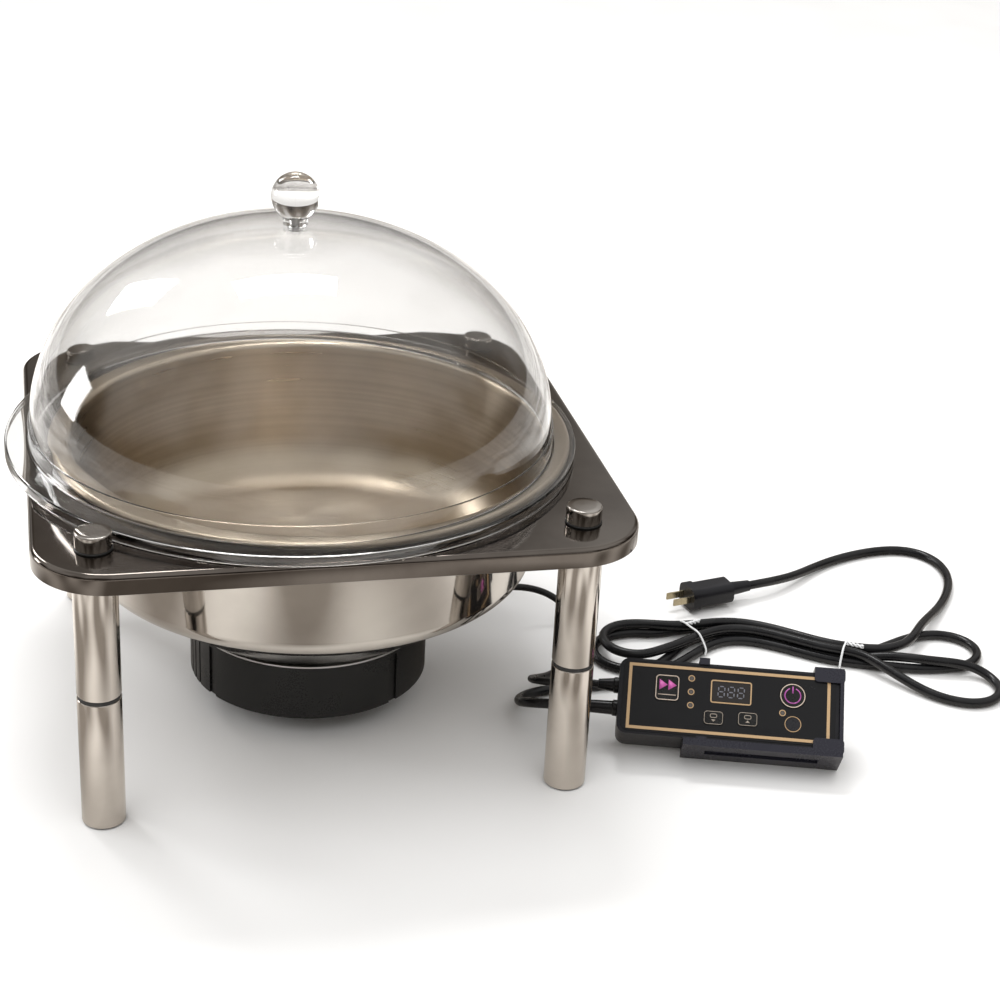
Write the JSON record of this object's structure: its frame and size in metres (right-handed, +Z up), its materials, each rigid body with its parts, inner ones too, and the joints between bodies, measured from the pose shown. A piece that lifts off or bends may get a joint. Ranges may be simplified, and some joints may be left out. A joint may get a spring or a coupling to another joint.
{
  "type": "round electric chafer",
  "caption": "Square mirror tray frame on four tube legs holding a round water pan, lift-out food pan, clear dome lid, electric heater below and a corded control box in its holder.",
  "frame": {"origin": "centre of the tray frame, on the table top", "axes": "+X right, +Y to the back, +Z up; the control box stands to the front right"},
  "size_m": [0.8528, 0.4386, 0.4331],
  "materials": {
    "plate": "mirror polished stainless tray plate",
    "leg_metal": "mirror polished stainless tube",
    "cap_metal": "polished cap nuts",
    "ring_rubber": "black rings, washers and glides",
    "fastener": "plated fasteners",
    "water_steel": "mirror polished outside",
    "food_steel": "polished rim, fine brushed inside",
    "clear_lid": "clear moulded polycarbonate",
    "heater_plastic": "black heat resistant moulding",
    "heater_plate": "cast heat plate and thermostat can",
    "element_steel": "sheathed element",
    "insulation": "ceramic fibre board",
    "terminal": "ceramic terminal blocks",
    "strain_rubber": "black strain reliefs",
    "cord_sheath": "black round sheath",
    "tie_white": "white twist tie",
    "case_plastic": "fine textured black",
    "face_gloss": "black face sheet",
    "gold_line": "gold printed line",
    "window": "smoked display window",
    "digit_grey": "unlit segments",
    "module_black": "component bodies",
    "board_green": "solder mask",
    "core_steel": "transformer core",
    "led_clear": "diffused lamp lenses",
    "key_plastic": "black key caps",
    "holder_plastic": "black moulded holder",
    "plug_plastic": "moulded plug",
    "blade_brass": "plug blades"
  },
  "bodies": {
    "base": {"plate_frame": "plate", "leg_mount_pads": "plate", "leg_upper_fl": "leg_metal", "leg_upper_fr": "leg_metal", "leg_upper_rl": "leg_metal", "leg_upper_rr": "leg_metal", "leg_lower_fl": "leg_metal", "leg_lower_fr": "leg_metal", "leg_lower_rl": "leg_metal", "leg_lower_rr": "leg_metal", "leg_end_plugs": "leg_metal", "leg_joint_rings": "ring_rubber", "leg_studs": "fastener", "leg_caps": "cap_metal", "cap_washers": "ring_rubber", "foot_pads": "ring_rubber", "water_pan": "water_steel", "heater_shell": "heater_plastic", "heater_top_plate": "heater_plate", "heater_element": "element_steel", "heater_insulation": "insulation", "heater_thermostat": "heater_plate", "heater_terminals": "terminal", "heater_screws": "fastener", "heater_clamp": "fastener", "heater_gland": "strain_rubber", "heater_lead": "cord_sheath", "case_front": "case_plastic", "case_back": "case_plastic", "face_overlay": "face_gloss", "face_frame": "gold_line", "display_window": "window", "display_digits": "digit_grey", "display_module": "module_black", "circuit_board": "board_green", "power_transformer": "core_steel", "power_relay": "module_black", "key_switches": "module_black", "status_leds": "led_clear", "light_sensor": "case_plastic", "case_screws": "fastener", "lead_strain_relief": "strain_rubber", "mains_strain_relief": "strain_rubber", "mains_cord_in": "cord_sheath", "mains_cord_hank": "cord_sheath", "mains_cord_out": "cord_sheath", "mains_cord_tie": "tie_white", "plug_body": "plug_plastic", "plug_blades": "blade_brass"},
    "food_pan": {"food_pan": "food_steel"},
    "lid": {"lid_dome": "clear_lid", "lid_knob": "clear_lid", "lid_knob_screw": "fastener"},
    "function_key": {"function_button": "key_plastic"},
    "down_key": {"down_button": "key_plastic"},
    "up_key": {"up_button": "key_plastic"},
    "power_key": {"power_button": "key_plastic"},
    "holder": {"box_holder": "holder_plastic"}
  },
  "joints": [
    {"name": "pan_lift", "type": "slide", "parent": "base", "child": "food_pan", "axis": [0, 0, 1], "range_m": [0, 0.2]},
    {"name": "lid_lift", "type": "slide", "parent": "food_pan", "child": "lid", "axis": [0, 0, 1], "range_m": [0, 0.25]},
    {"name": "function_press", "type": "slide", "parent": "base", "child": "function_key", "axis": [0.1879, 0.6147, -0.766], "range_m": [0, 0.0005], "stiffness_N_per_m": 1500, "springref_m": -0.0004},
    {"name": "down_press", "type": "slide", "parent": "base", "child": "down_key", "axis": [0.1879, 0.6147, -0.766], "range_m": [0, 0.0005], "stiffness_N_per_m": 1500, "springref_m": -0.0004},
    {"name": "up_press", "type": "slide", "parent": "base", "child": "up_key", "axis": [0.1879, 0.6147, -0.766], "range_m": [0, 0.0005], "stiffness_N_per_m": 1500, "springref_m": -0.0004},
    {"name": "power_press", "type": "slide", "parent": "base", "child": "power_key", "axis": [0.1879, 0.6147, -0.766], "range_m": [0, 0.0005], "stiffness_N_per_m": 1500, "springref_m": -0.0004},
    {"name": "holder_slide", "type": "slide", "parent": "base", "child": "holder", "axis": [0.9563, -0.2924, 0], "range_m": [0, 0.18]}
  ]
}
